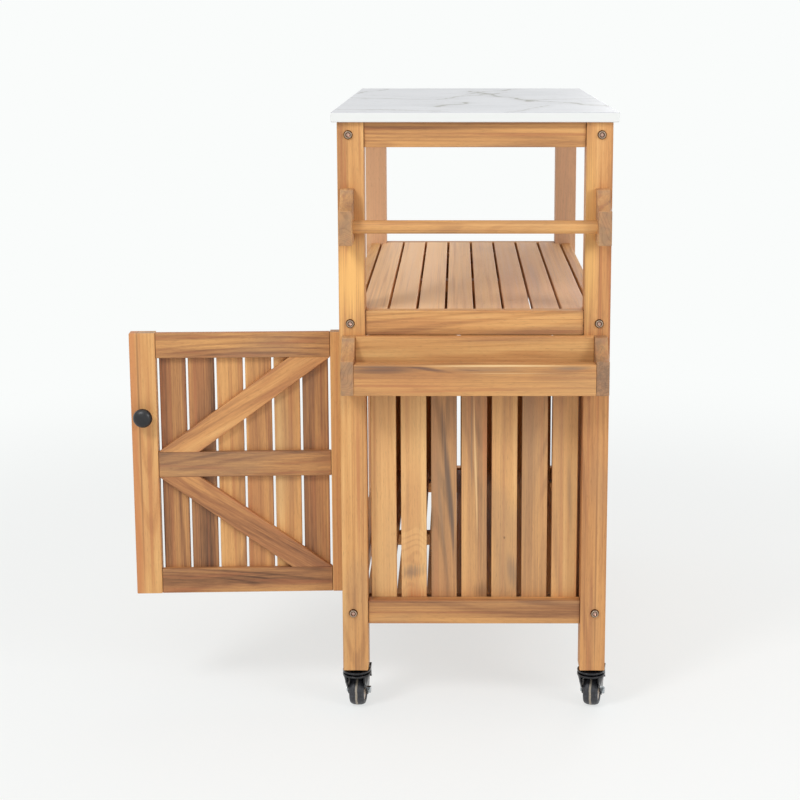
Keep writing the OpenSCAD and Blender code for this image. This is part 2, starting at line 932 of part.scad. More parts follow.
module tyre() {
    half = wheel_width / 2;
    radius = wheel_diameter / 2;
    inner = hub_diameter / 2;
    step = tyre_shoulder / 4;
    translate([-trail, 0, axle_level]) rotate([90, 0, 0])
        rotate_extrude($fn = 96)
            polygon([[inner, step - half], [radius - tyre_shoulder, -half],
                     [radius - step, tyre_shoulder - half], [radius, 2 * tyre_shoulder - half],
                     [radius, half - 2 * tyre_shoulder], [radius - step, half - tyre_shoulder],
                     [radius - tyre_shoulder, half], [inner, half - step]]);
}

// A brake pedal's outline from the side, with its pivot at the origin
module pedal_outline() {
    circle(r = pedal_boss);
    polygon([[0, pedal_boss], [-8, 3.2], [-19, 8], [-22, 6], [-16, 0], [-17.5, -11], [-21, -14],
             [-19, -16], [-15.5, -13.5], [-13, -2], [0, -pedal_boss]]);
}

// The pedal turns on a pin between the cheeks, and its tread widens behind them
module pedal() {
    arm = cheek_inner - fit_gap;
    tread_start = pedal_pivot - fork_tail - overlap;
    translate([-pedal_pivot, 0, pedal_level]) {
        y_cylinder(pedal_pin_radius, -cheek_outer, cheek_outer);
        translate([0, arm, 0]) rotate([90, 0, 0]) linear_extrude(2 * arm) pedal_outline();
        translate([0, pedal_width / 2, 0]) rotate([90, 0, 0])
            linear_extrude(pedal_width)
                intersection() {
                    pedal_outline();
                    translate([-pedal_width, -pedal_width])
                        square([pedal_width + tread_start, 2 * pedal_width]);
                }
    }
}

module front_right_fork() {
    color(black_metal) at_caster(1, -1) fork();
}

module front_right_hub() {
    color(steel) at_caster(1, -1) hub();
}

module front_right_tyre() {
    color(black_metal) at_caster(1, -1) tyre();
}

module front_right_pedal() {
    color(black_metal) at_caster(1, -1) pedal();
}

module back_right_fork() {
    color(black_metal) at_caster(1, 1) fork();
}

module back_right_hub() {
    color(steel) at_caster(1, 1) hub();
}

module back_right_tyre() {
    color(black_metal) at_caster(1, 1) tyre();
}

module back_right_pedal() {
    color(black_metal) at_caster(1, 1) pedal();
}

module front_left_fork() {
    color(black_metal) at_caster(-1, -1) fork();
}

module front_left_hub() {
    color(steel) at_caster(-1, -1) hub();
}

module front_left_tyre() {
    color(black_metal) at_caster(-1, -1) tyre();
}

module back_left_fork() {
    color(black_metal) at_caster(-1, 1) fork();
}

module back_left_hub() {
    color(steel) at_caster(-1, 1) hub();
}

module back_left_tyre() {
    color(black_metal) at_caster(-1, 1) tyre();
}

worktop();
battens();
front_right_leg();
back_right_leg();
front_left_leg();
back_left_leg();
top_front_rail();
top_back_rail();
top_end_rails();
middle_front_rail();
middle_back_rail();
middle_end_rails();
bottom_front_rail();
bottom_back_rail();
bottom_end_rails();
shelf_slats();
floor_slats();
right_panel_slats();
left_panel_slats();
back_panel_slats();
center_post();
frame_bolts();
cross_dowel_nuts();
right_door_stiles();
right_door_rails();
right_door_braces();
right_door_slats();
right_door_knob();
right_door_hinges();
right_door_strike();
left_door_stiles();
left_door_rails();
left_door_braces();
left_door_slats();
left_door_knob();
left_door_hinges();
left_door_strike();
leg_hinges();
magnetic_catches();
rack_brackets();
towel_rod();
spice_front_board();
spice_floor_board();
spice_back_board();
caster_stems();
front_right_fork();
front_right_hub();
front_right_tyre();
front_right_pedal();
back_right_fork();
back_right_hub();
back_right_tyre();
back_right_pedal();
front_left_fork();
front_left_hub();
front_left_tyre();
back_left_fork();
back_left_hub();
back_left_tyre();
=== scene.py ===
# Studio picture of a rolling bar cart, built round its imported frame.
# X runs along the cart towards the racks, the doors are on the -Y side, and Z is up.
# Lengths are metres. Places in the tables are measured from the cart's middle, and heights from the floor,
# where a comment names nothing else.
import json
import math

import bmesh
import bpy
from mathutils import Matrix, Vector


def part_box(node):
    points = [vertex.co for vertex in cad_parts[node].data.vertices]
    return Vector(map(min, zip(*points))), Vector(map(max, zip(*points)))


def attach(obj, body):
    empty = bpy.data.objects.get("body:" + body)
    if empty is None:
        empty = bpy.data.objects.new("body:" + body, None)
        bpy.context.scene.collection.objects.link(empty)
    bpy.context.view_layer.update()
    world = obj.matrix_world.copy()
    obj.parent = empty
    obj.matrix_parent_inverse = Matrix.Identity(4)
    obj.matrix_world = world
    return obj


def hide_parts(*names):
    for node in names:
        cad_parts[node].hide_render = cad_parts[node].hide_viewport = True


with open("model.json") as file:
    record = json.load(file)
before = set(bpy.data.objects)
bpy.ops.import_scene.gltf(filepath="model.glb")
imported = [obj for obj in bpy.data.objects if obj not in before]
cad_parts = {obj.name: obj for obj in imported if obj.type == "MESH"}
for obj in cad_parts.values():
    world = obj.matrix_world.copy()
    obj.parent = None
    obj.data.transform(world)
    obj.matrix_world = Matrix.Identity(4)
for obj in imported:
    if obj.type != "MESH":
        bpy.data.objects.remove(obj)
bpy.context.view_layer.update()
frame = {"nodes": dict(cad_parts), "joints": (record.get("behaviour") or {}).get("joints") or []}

nodes = frame["nodes"]
joints = {joint["name"]: joint for joint in frame["joints"]}

# Names
CASTERS = ("front_right", "back_right", "front_left", "back_left")
BRAKED = ("front_right", "back_right")
DOORS = ("right", "left")
TIMBER_ENDINGS = ("_leg", "_rail", "_rails", "_slats", "_stiles", "_braces", "_board")
MORE_TIMBER = ["center_post", "battens", "rack_brackets"]

# Sizes of the frame's parts
MM = 0.001
BOARD_WIDTH = 40 * MM
LEG_INNER = 167 * MM
# The width of the painted shade lines where boards meet
JOINT_SHADE_WIDTH = 1.5 * MM
BOLT_HEAD = 14 * MM

# A door: places along it from its hinge pin, its rails' levels from its middle, and its braces' lean
DOOR_JOINTS = (42.7 * MM, 313.3 * MM)
DOOR_SLAT_START = 44.7 * MM
DOOR_SLAT_PITCH = 44.43 * MM
DOOR_RAIL_START = -210 * MM
DOOR_RAIL_PITCH = 140 * MM
BRACE_LEAN = math.radians(31)

# A knob: its length from the tip to the end of its screw behind the door, its own height over the door's
# face, its radius, the height where its cap starts, the power of the cosine that rounds the cap, and the
# cap's steps. The neck is the outline below the cap, as (radius, height) in millimetres.
KNOB_LENGTH = 49.5 * MM
KNOB_HEIGHT = 25 * MM
KNOB_RADIUS = 15 * MM
KNOB_CAP = 16 * MM
KNOB_POWER = 0.75
KNOB_STEPS = 12
KNOB_NECK = ((7.0, 0.0), (6.9, 0.8), (6.1, 2.6), (5.6, 5.0), (5.7, 8.0), (6.6, 10.2), (9.0, 11.8),
             (12.4, 13.2), (14.2, 14.4))

# The screw's head: its radius and height, the share of the height that is upright, and the dome's angles
SCREW_RADIUS = 4 * MM
SCREW_HEIGHT = 2.5 * MM
SCREW_RIM = 0.3
SCREW_DOME = (0.4, 0.8, 1.2)

# A tyre: its width, the radius of the hub under it, and the outline of half its section in millimetres. The
# foot is (out from the hub, in from the side), the shoulder is (in from the tread, in from the side), and
# the rib round the middle is (in from the tread, half its width).
TYRE_WIDTH = 24 * MM
HUB_RADIUS = 17 * MM
TYRE_FOOT = ((0.0, 1.0), (1.2, 0.4))
TYRE_SHOULDER = ((4.6, 0.0), (3.2, 0.5), (1.9, 1.9), (1.0, 4.2), (0.35, 7.0))
TYRE_RIB = ((0.25, 2.1), (0.0, 1.7))

# The bare steel of a caster's axle ends, as (none, full): its edge round the axle, and its start along it
NUT_EDGE = (6.6 * MM, 6.3 * MM)
NUT_START = (16.0 * MM, 16.3 * MM)

# Rounded edges: points nearer than WELD join, faces flatter than FLATTEN merge, then each kind's bevel
WELD = 0.01 * MM
FLATTEN = math.radians(1)
TIMBER_EDGE = 1.4 * MM
SLAB_EDGE = 1.6 * MM
METAL_EDGE = 0.4 * MM
PEDAL_EDGE = 0.5 * MM
NORMAL_WEIGHT = 80
SHARP_ANGLE = math.radians(40)

# The camera: its place beside the worktop's middle, its height over the floor, its aim and its lens
CAMERA_OFFSET = (2.9670, -0.0262)
CAMERA_HEIGHT = 1.0908
CAMERA_PITCH = math.radians(10.271)
CAMERA_YAW = math.radians(0.079)
CAMERA_LENS = 76.48
CAMERA_SENSOR = 36.0
CAMERA_SHIFT = (-0.069, -0.095)

# Lamps: name, place with its height over the floor, diameter and watts. They aim below the worktop.
LAMPS = (
    ("key", (2.3, -1.5, 2.6), 0.9, 38),
    ("fill", (2.1, 1.9, 1.6), 1.2, 21),
    ("top", (-0.2, 0.2, 3.2), 2.0, 7),
    ("back", (-2.6, 1.2, 1.8), 1.6, 17),
)
LAMP_AIM = 0.4
WORLD_LIGHT = 0.50

# The floor: its half width, the backdrop's share of it near the cart, and where that share starts to grow
# and where it is all
FLOOR_REACH = 40.0
FLOOR_GLOW = 0.66
FLOOR_FADE = (0.9, 2.3)


def screen(red, green, blue):
    """A colour as the screen shows it, from 0 to 255, made linear."""
    def linear(value):
        share = value / 255
        return share / 12.92 if share <= 0.04045 else ((share + 0.055) / 1.055) ** 2.4

    return (linear(red), linear(green), linear(blue), 1.0)


# Colours of timber, roughly from pale to dark
CREAM = screen(246, 212, 158)
GOLD = screen(242, 194, 128)
# A painted highlight for the front right leg
LEG_PAINTED_HIGHLIGHT = screen(252, 196, 118)
STRIP_GOLD = screen(248, 198, 120)
# Painted light for the shelf's slats on the -Y side
SHELF_PAINTED_LIGHT = screen(255, 210, 160)
FLAME = screen(236, 196, 142)
PINKISH = screen(228, 184, 148)
SAND = screen(226, 184, 134)
HONEY = screen(218, 162, 101)
ROSE = screen(202, 130, 82)
RUSSET = screen(190, 122, 80)
END_GRAIN = screen(184, 140, 102)
BROWN = screen(162, 113, 74)
END_GREY = screen(154, 124, 98)
GREY_BROWN = screen(148, 120, 96)
# Painted shade for the rack's brackets
PAINTED_SHADE = screen(124, 98, 78)
SLATE = screen(112, 92, 78)
PLUM = screen(110, 82, 70)
UMBER = screen(92, 62, 44)

# Colours of the slab, the room, and metal, plastic and rubber
SLAB_LIGHT = screen(212, 213, 217)
SLAB_DARK = screen(202, 203, 207)
# Painted light for the slab's sides
SLAB_SIDE_PAINTED_LIGHT = screen(232, 234, 232)
VEIN = screen(122, 118, 106)
BACKDROP = screen(250, 252, 251)
PAPER = screen(249, 250, 250)
BLACK = screen(15, 15, 18)
BLACK_SHEEN = screen(30, 30, 34)
KNOB_BLACK = screen(22, 22, 25)
KNOB_SHEEN = screen(32, 32, 35)
CATCH_GREY = screen(52, 52, 54)
CATCH_SHEEN = screen(62, 62, 64)
HUB_LIGHT = screen(226, 214, 200)
HUB_DARK = screen(208, 192, 176)
ZINC_LIGHT = screen(196, 200, 204)
ZINC_DARK = screen(168, 172, 176)
AXLE_LIGHT = screen(190, 196, 200)
AXLE_DARK = screen(160, 166, 170)
BOLT_RIM = screen(78, 56, 44)
BOLT_HIGHLIGHT_RING = screen(190, 170, 150)
BOLT_SOCKET_HIGHLIGHT = screen(214, 176, 158)
BOLT_TARNISH = screen(92, 66, 48)
TREAD = screen(34, 35, 40)
TREAD_DUST = screen(66, 68, 75)
TREAD_SCUFF = screen(92, 93, 99)
TREAD_LINE = screen(168, 158, 142)

# Bolt heads from their middle outwards: a painted highlight in the socket inside a dark edge, a painted
# highlight ring, and a dark rim
BOLT_HIGHLIGHT_STOPS = ((0.0, BOLT_SOCKET_HIGHLIGHT), (0.36, BOLT_SOCKET_HIGHLIGHT), (0.42, BOLT_RIM), (0.52, BOLT_RIM),
              (0.62, BOLT_HIGHLIGHT_RING), (0.74, BOLT_HIGHLIGHT_RING), (0.84, BOLT_RIM))

# Timber's noise bands: what lengths along the grain are multiplied by, scale, detail, roughness, distortion
BANDS = {
    "field": (0.08, 11.0, 1.0, 0.4, 0.3),
    "ring_weight": (0.2, 20.0, 1.0, 0.5, 0.0),
    "broad": (0.045, 34.0, 1.0, 0.45, 0.3),
    "streak": (0.016, 120.0, 2.0, 0.5, 0.1),
    "patch": (0.20, 16.0, 1.5, 0.45, 0.4),
    "fibre": (0.008, 420.0, 2.0, 0.5, 0.0),
    "speck": (0.035, 1300.0, 1.0, 0.5, 0.0),
    "pores": (0.055, 1500.0, 1.0, 0.5, 0.0),
}
# How much each band darkens and lightens timber
SWINGS = (("broad", 1.05), ("streak", 0.50), ("fibre", 0.50), ("speck", 0.24))
TIMBER_STOPS = ((0.0, GOLD), (0.36, HONEY), (0.74, BROWN), (1.0, UMBER))
# Stains of timber: band, its values where a stain starts and is full, colour and strength
STAINS = (
    ("streak", 0.54, 0.70, RUSSET, 0.45),
    ("patch", 0.52, 0.72, RUSSET, 0.32),
    ("patch", 0.44, 0.28, GREY_BROWN, 0.30),
)
PORE_EDGE = (0.60, 0.74)
PORE_STRENGTH = 0.24
# Growth rings: how close they lie, the values of ring_weight where they are faint and strong, and how much
RING_COUNT = 120.0
RING_PATCHES = (0.35, 0.65)
RING_STRENGTH = (0.02, 0.16)
# An arch: the factor on lengths along the grain, the share of its radius where it is full, and its pull
ARCH_STRETCH = 0.55
ARCH_CORE = 0.55
ARCH_PULL = 5.0
# End grain: two noises with scale, detail, roughness and distortion, its arcs, and the faces that show it
END_BLOTCH = (55.0, 3.0, 0.6, 0.5)
END_FIELD = (14.0, 1.0, 0.4, 0.3)
END_RING_COUNT = 160.0
END_ARCS = (0.55, 1.0, 0.0, 0.30)
END_FACING = (0.80, 0.97, 0.0, 0.75)
# A mark's soft edge, and the bands that make it ragged
MARK_EDGE = (1.05, 0.25)
MARK_RAGGED = (("fibre", 1.3), ("streak", 1.0))
# How far one board may be moved in the pattern: across the grain, twice, and along it
BOARD_SHIFT = (0.9, 0.9, 4.0)
# For each axis along the grain, the two axes across it and then itself
GRAIN_AXES = {"X": (2, 1, 0), "Y": (0, 2, 1), "Z": (0, 1, 2)}
# Rows of boards, as (axis, start, pitch): the cart's two sides, its two ends, its battens, a door's stiles
BY_SIDE = ("Y", -1.0, 1.0)
BY_END = ("X", -1.0, 1.0)
BATTEN_ROW = ("X", -1.2, 0.25)
STILE_ROW = ("X", -0.8, 1.0)

# Veins of the slab: start and end in X and Y, width and strength
VEINS = (
    ((-0.03, -0.23), (0.03, -0.07), 0.0035, 0.55), ((0.03, -0.07), (-0.25, 0.06), 0.0035, 0.60),
    ((-0.30, 0.00), (0.10, 0.10), 0.0050, 0.85), ((0.04, 0.08), (0.26, 0.23), 0.0042, 0.75),
    ((0.05, 0.08), (-0.02, 0.24), 0.0032, 0.55), ((0.33, -0.23), (0.40, -0.04), 0.0034, 0.55),
    ((0.28, -0.06), (0.11, -0.01), 0.0055, 0.60), ((-0.42, 0.10), (-0.16, -0.02), 0.0040, 0.45),
    ((-0.40, -0.16), (-0.18, -0.22), 0.0036, 0.40), ((0.42, 0.05), (0.22, 0.12), 0.0030, 0.35),
)
# A vein: its line fades from the second to the first share of its width and has this gain, the vein fades
# over this share of its length at each end, and its halo is wider and fainter
VEIN_LINE = (1.4, 0.2)
VEIN_GAIN = 1.35
VEIN_FADE = 0.08
HALO_WIDTH = 7
HALO_STRENGTH = 0.26
# Noises that bend the veins: scale, detail, roughness, and how far they bend
WARPS = ((9.0, 3.0, 0.55, 0.075), (60.0, 3.0, 0.6, 0.012))
# The faint veins' noise, how near its middle value they lie, their strength, and the noise and the weights
# that make all veins come and go
FAINT_NOISE = (5.5, 5.0, 0.6, 0.6)
FAINT_WIDTH = 0.018
FAINT_STRENGTH = 0.16
VEIN_PATCHES = (22.0, 3.0, 0.6)
VEIN_WEIGHT = (0.30, 0.62, 0.25, 1.0)
# The slab's white drifts with a slow noise, its sides get painted light that makes them paler than its top,
# and its gloss is mottled
SLAB_CLOUD = (6.0, 3.0, 0.5)
SLAB_DRIFT = (0.35, 0.75)
PAINTED_SIDE_TURN = (0.6, 0.2)
SLAB_MOTTLE = (140.0, 3.0)
SLAB_GLOSS = (0.3, 0.7, 0.30, 0.38)

# Metal, paint and plastic: detail and roughness of the slow noise and of the fine one, the values between
# which one colour turns into the other, and how much finer the fine noise is
CLOUD = (4.0, 0.6)
GRIT = (3.0, 0.6)
SPREAD = (0.3, 0.7)
GRIT_RATIO = 9

# A tyre's tread: how fine its marks are, the width in which its middle line wanders, and the line's edge
TREAD_MARKS = 900.0
TREAD_WANDER = 2.4 * MM
TREAD_BAND = (1.9 * MM, 1.5 * MM)

# Legs: node, seed, tone, tint and its share
LEGS = (
    ("front_right_leg", 3.1, 0.37, ROSE, 0.05), ("back_right_leg", 5.2, 0.49, ROSE, 0.18),
    ("front_left_leg", 8.3, 0.30, PINKISH, 0.75), ("back_left_leg", 11.4, 0.60, PINKISH, 0.70),
)
# Rails: level, seed and tone
RAILS = (("top", 1.3, 0.38), ("middle", 2.6, 0.36), ("bottom", 4.7, 0.57))
LONG_RAIL_PALER = 0.06

# Marks on timber: place, reach, lean, colour and strength
LEG_MARKS = {
    "front_right_leg": (
        # A painted highlight on the leg's face, about 0.7 m up
        ((0.415, -0.190, 0.700), (0.03, 0.030, 0.085), 0.0, LEG_PAINTED_HIGHLIGHT, 0.8),
        ((0.415, -0.180, 0.400), (0.03, 0.004, 0.140), 0.0, RUSSET, 0.6),
        ((0.415, -0.195, 0.860), (0.03, 0.002, 0.080), 0.0, RUSSET, 0.6),
    ),
    "back_right_leg": (
        ((0.415, 0.173, 0.760), (0.03, 0.010, 0.200), 0.0, STRIP_GOLD, 0.55),
        ((0.415, 0.1905, 0.300), (0.03, 0.0016, 0.260), 0.0, BROWN, 0.7),
        ((0.415, 0.1890, 0.720), (0.03, 0.0016, 0.220), 0.0, BROWN, 0.7),
    ),
}
PANEL_MARKS = (
    ((0, -0.040, 0.365), (1, 0.0065, 0.165), 0.09, SLATE, 0.95),
    ((0, -0.050, 0.300), (1, 0.004, 0.120), 0.09, GREY_BROWN, 0.6),
    ((0, -0.056, 0.480), (1, 0.006, 0.110), 0.10, UMBER, 0.30),
    ((0, 0.021, 0.430), (1, 0.010, 0.140), 0.02, ROSE, 0.85),
    ((0, -0.004, 0.440), (1, 0.0022, 0.120), 0.0, GREY_BROWN, 0.8),
    ((0, 0.002, 0.400), (1, 0.0018, 0.150), 0.03, FLAME, 0.8),
    ((0, 0.010, 0.192), (1, 0.013, 0.024), 0.0, UMBER, 0.55),
    ((0, 0.060, 0.226), (1, 0.011, 0.040), 0.15, GREY_BROWN, 0.75),
    ((0, 0.0476, 0.2815), (1, 0.0022, 0.004), 0.0, UMBER, 0.9),
    ((0, 0.150, 0.347), (1, 0.006, 0.100), 0.03, GREY_BROWN, 0.6),
    ((0, -0.090, 0.172), (1, 0.022, 0.042), 0.0, ROSE, 0.9),
    ((0, -0.096, 0.226), (1, 0.024, 0.016), 0.25, GREY_BROWN, 0.75),
)
# Rings that bend round a knot: place in Y and Z, radius, board of the row, and strength
PANEL_ARCHES = (((-0.092, 0.165), 0.075, 1, 1.0),)
# Marks on the spice rack's front board, whose heights are measured from its top: streaks of grain, and a
# painted highlight along its top edge
RACK_MARKS = (
    ((0, -0.138, -0.0068), (1, 0.075, 0.0095), 0.0, PLUM, 0.85),
    ((0, -0.150, -0.0030), (1, 0.045, 0.0012), 0.0, GREY_BROWN, 0.7),
    ((0, -0.066, -0.0075), (1, 0.044, 0.0036), -0.13, PLUM, 0.95),
    ((0, 0.020, -0.0078), (1, 0.100, 0.0062), 0.0, GREY_BROWN, 0.7),
    ((0, -0.005, -0.0085), (1, 0.030, 0.0016), -0.05, PLUM, 0.6),
    ((0, 0.145, -0.0065), (1, 0.045, 0.0058), 0.02, GREY_BROWN, 0.9),
    # A painted highlight along the board's top edge
    ((0, 0.020, -0.0016), (1, 0.130, 0.0020), 0.0, CREAM, 0.95),
    ((0, 0.060, -0.0130), (1, 0.120, 0.0010), 0.0, CREAM, 0.6),
    ((0, -0.040, -0.0400), (1, 0.160, 0.0030), 0.02, RUSSET, 0.6),
)


def low(name):
    """The lowest corner of a node's box."""
    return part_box(name)[0]


def high(name):
    """The highest corner of a node's box."""
    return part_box(name)[1]


def middle(name):
    """The centre of a node's box."""
    return (low(name) + high(name)) / 2


cart_center = middle("worktop")
cart_foot = (cart_center.x, cart_center.y, 0.0)


class Graph:
    """The nodes of a material or a world, with short calls that add and link them."""

    def __init__(self, owner):
        owner.use_nodes = True
        self.owner = owner
        self.tree = owner.node_tree
        self.tree.nodes.clear()

    def plug(self, socket, value):
        """Links an output to a socket, or sets the socket to a plain value."""
        if isinstance(value, bpy.types.NodeSocket):
            self.tree.links.new(value, socket)
        else:
            socket.default_value = value

    def add(self, kind, values=(), named=None, **settings):
        """A new node, with values for its first sockets and for named ones."""
        made = self.tree.nodes.new("ShaderNode" + kind)
        for key, value in settings.items():
            setattr(made, key, value)
        for socket, value in zip(made.inputs, values):
            self.plug(socket, value)
        for key, value in (named or {}).items():
            self.plug(made.inputs[key], value)
        return made

    def math(self, operation, *values):
        return self.add("Math", values, operation=operation).outputs[0]

    def vector(self, operation, *values):
        return self.add("VectorMath", values, operation=operation).outputs[0]

    def measure(self, operation, *values):
        """A vector operation whose result is one number."""
        return self.add("VectorMath", values, operation=operation).outputs["Value"]

    def split(self, vector):
        return self.add("SeparateXYZ", (vector,)).outputs

    def join(self, x, y, z):
        return self.add("CombineXYZ", (x, y, z)).outputs[0]

    def surface(self):
        """The object's own coordinates, and the way the surface faces."""
        outputs = self.add("TexCoord").outputs
        return outputs["Object"], outputs["Normal"]

    def radius(self, a, b):
        """The distance from an axis, from two coordinates across it."""
        return self.math("SQRT", self.math("ADD", self.math("MULTIPLY", a, a), self.math("MULTIPLY", b, b)))

    def noise(self, vector, scale, detail=2.0, roughness=0.5, distortion=0.0):
        named = {"Vector": vector, "Scale": scale, "Detail": detail}
        named.update({"Roughness": roughness, "Distortion": distortion})
        return self.add("TexNoise", named=named).outputs[0]

    def remap(self, value, from_low, from_high, to_low=0.0, to_high=1.0):
        """The value moved smoothly from one range to another, and held inside it."""
        node = self.add("MapRange", interpolation_type="SMOOTHSTEP")
        for socket, given in zip(node.inputs, (value, from_low, from_high, to_low, to_high)):
            self.plug(socket, given)
        return node.outputs[0]

    def mix(self, factor, a, b):
        """Colour a, with this share of colour b over it."""
        node = self.add("Mix", data_type="RGBA")
        self.plug(node.inputs[0], factor)
        self.plug(node.inputs[6], a)
        self.plug(node.inputs[7], b)
        return node.outputs[2]

    def ramp(self, value, stops, interpolation="LINEAR"):
        """A colour for each value, by stops of (position, colour)."""
        node = self.add("ValToRGB", (value,))
        node.color_ramp.interpolation = interpolation
        elements = node.color_ramp.elements
        while len(elements) < len(stops):
            elements.new(1.0)
        for element, (position, color) in zip(elements, stops):
            element.position = position
            element.color = color
        return node.outputs[0]

    def steps(self, value, tones):
        """A value that jumps from one tone to the next as value goes from 0 to 1."""
        stops = [(i / len(tones), (tone, tone, tone, 1.0)) for i, tone in enumerate(tones)]
        return self.ramp(value, stops, "CONSTANT")

    def place(self, vector, location=(0, 0, 0), rotation=(0, 0, 0)):
        """The vector as seen from a frame at location, turned by rotation."""
        return self.add("Mapping", (vector, location, rotation), vector_type="TEXTURE").outputs[0]

    def bump(self, height, strength, distance):
        named = {"Strength": strength, "Distance": distance, "Height": height}
        return self.add("Bump", named=named).outputs[0]

    def finish(self, **sockets):
        """Closes the graph with a Principled shader that has these sockets set, and gives the material."""
        names = {key.replace("_", " "): value for key, value in sockets.items()}
        shader = self.add("BsdfPrincipled", named=names)
        self.add("OutputMaterial", (shader.outputs[0],))
        return self.owner


def graph(name):
    """An empty graph in a new material."""
    return Graph(bpy.data.materials.new(name))


class Timber(Graph):
    """A timber's nodes. Every board has its grain along its own length and its own place in the pattern."""

    def __init__(self, name, grain, board, seed, door, tilt, fold, figure):
        super().__init__(bpy.data.materials.new(name))
        self.figure = figure
        self.grain = "XYZ".index(grain)
        self.point, self.normal = self.surface()
        if door:
            location, angle = door
            self.point = self.place(self.point, location, (0, 0, angle))
            self.normal = self.place(self.normal, (0, 0, 0), (0, 0, angle))
        else:
            self.point = self.vector("SUBTRACT", self.point, cart_foot)
        parts = list(self.split(self.point))
        cell = [0.0, 0.0, 0.0]
        if board:
            axis, start, pitch = board
            axis = "XYZ".index(axis)
            self.row = self.math("DIVIDE", self.math("SUBTRACT", parts[axis], start), pitch)
            cell[axis] = self.math("FLOOR", self.row)
        if fold is not None:
            parts[2] = self.math("ABSOLUTE", self.math("SUBTRACT", parts[2], fold))
        key = self.vector("ADD", self.join(*cell), (seed, seed * 1.7, seed * 2.3))
        self.chance = self.add("TexWhiteNoise", (key,), noise_dimensions="3D").outputs
        if tilt:
            parts = list(self.split(self.place(self.join(*parts), rotation=(0, tilt, 0))))
        local = self.join(*(parts[i] for i in GRAIN_AXES[grain]))
        self.shifted = self.vector("MULTIPLY_ADD", self.chance["Color"], BOARD_SHIFT, local)
        self.bands = {band: self.drawn(*settings) for band, settings in BANDS.items()}
        self.pores = self.remap(self.bands["pores"], *PORE_EDGE)

    def drawn(self, share, scale, detail, roughness, distortion):
        """Noise drawn out along the grain."""
        point = self.vector("MULTIPLY", self.shifted, (1, 1, share))
        return self.noise(point, scale, detail, roughness, distortion)

    def swing(self, band, amount):
        """A band as a swing about zero."""
        return self.math("MULTIPLY", self.math("SUBTRACT", self.bands[band], 0.5), amount * self.figure)

    def rings(self, arches):
        """The growth rings: level lines of a slow field, which bend round the arches."""
        field = self.bands["field"]
        for (across, along), radius, index, strength in arches:
            parts = self.split(self.point)
            y = self.math("SUBTRACT", parts[1], across)
            z = self.math("MULTIPLY", self.math("SUBTRACT", parts[2], along), ARCH_STRETCH)
            reach = self.radius(y, z)
            near = self.remap(reach, radius, radius * ARCH_CORE, 0.0, strength)
            same_board = self.math("COMPARE", self.math("FLOOR", self.row), float(index), 0.1)
            near = self.math("MULTIPLY", near, same_board)
            pull = self.math("MULTIPLY", near, self.math("MULTIPLY", reach, ARCH_PULL))
            field = self.math("ADD", field, pull)
        lines = self.remap(self.math("SINE", self.math("MULTIPLY", field, RING_COUNT)), 0.0, 1.0)
        weight = self.remap(self.bands["ring_weight"], *RING_PATCHES, *RING_STRENGTH)
        return self.math("MULTIPLY", lines, weight)

    def depth(self, tone, tones, spread, arches):
        """How dark the timber is, from 0, pale gold, to 1, dark brown."""
        depth = self.steps(self.math("DIVIDE", self.row, float(len(tones))), tones) if tones else tone
        stray = self.math("MULTIPLY", self.math("SUBTRACT", self.chance["Value"], 0.5), 2 * spread)
        depth = self.math("ADD", depth, stray)
        for band, amount in SWINGS:
            depth = self.math("ADD", depth, self.swing(band, amount))
        return self.math("ADD", depth, self.rings(arches))

    def face(self, depth, tint, tint_share):
        """The colour of the boards' faces: its depth, then stains, a tint, and the pores' dark dashes."""
        color = self.ramp(depth, TIMBER_STOPS)
        for band, start, full, stain, strength in STAINS:
            color = self.mix(self.remap(self.bands[band], start, full, 0.0, strength), color, stain)
        if tint:
            color = self.mix(tint_share, color, tint)
        return self.mix(self.math("MULTIPLY", self.pores, PORE_STRENGTH), color, UMBER)

    def with_ends(self, color):
        """The colour with end grain on the faces that look along the grain."""
        facing = self.math("ABSOLUTE", self.split(self.normal)[self.grain])
        blotch = self.noise(self.shifted, *END_BLOTCH)
        field = self.noise(self.shifted, *END_FIELD)
        arcs = self.math("SINE", self.math("MULTIPLY", field, END_RING_COUNT))
        end = self.mix(self.remap(blotch, 0.35, 0.65), END_GRAIN, END_GREY)
        end = self.mix(self.remap(arcs, *END_ARCS), end, UMBER)
        return self.mix(self.remap(facing, *END_FACING), color, end)

    def with_marks(self, color, marks):
        """The colour with soft marks over it, whose edges follow the grain."""
        for place, reach, lean, mark, strength in marks:
            moved = self.place(self.point, place, (lean, 0, 0))
            size = self.measure("LENGTH", self.vector("DIVIDE", moved, reach))
            for band, amount in MARK_RAGGED:
                size = self.math("ADD", size, self.swing(band, amount))
            color = self.mix(self.remap(size, *MARK_EDGE, 0.0, strength), color, mark)
        return color


def timber(name, grain, tone=0.35, spread=0.12, board=None, tones=None, seed=0.0, door=None,
           tilt=0.0, fold=None, tint=None, tint_share=0.0, marks=(), arches=(), figure=1.0):
    """An oiled hardwood.

    grain is the axis along the boards. tone runs from 0, pale gold, to 1, dark brown, and spread is how
    far single boards stray from it. board is (axis, start, pitch), which tells one board of a row from the
    next, and tones gives each board of the row its own tone. door is a turned frame (location, angle), tilt
    turns the grain about that frame's Y axis, and fold mirrors the pattern at a level. marks and arches are
    rows as in the tables above. figure is how strong the grain's light and dark are.
    """
    g = Timber(name, grain, board, seed, door, tilt, fold, figure)
    color = g.face(g.depth(tone, tones, spread, arches), tint, tint_share)
    color = g.with_marks(g.with_ends(color), marks)
    fibre, broad = g.bands["fibre"], g.bands["broad"]
    height = g.math("SUBTRACT", g.math("MULTIPLY", fibre, 0.6), g.math("MULTIPLY", g.pores, 0.5))
    gloss = g.math("ADD", fibre, g.math("MULTIPLY", broad, 0.5))
    return g.finish(Base_Color=color, Roughness=g.remap(gloss, 0.5, 1.0, 0.60, 0.44),
                    Normal=g.bump(height, 0.35, 0.0005), IOR=1.42)


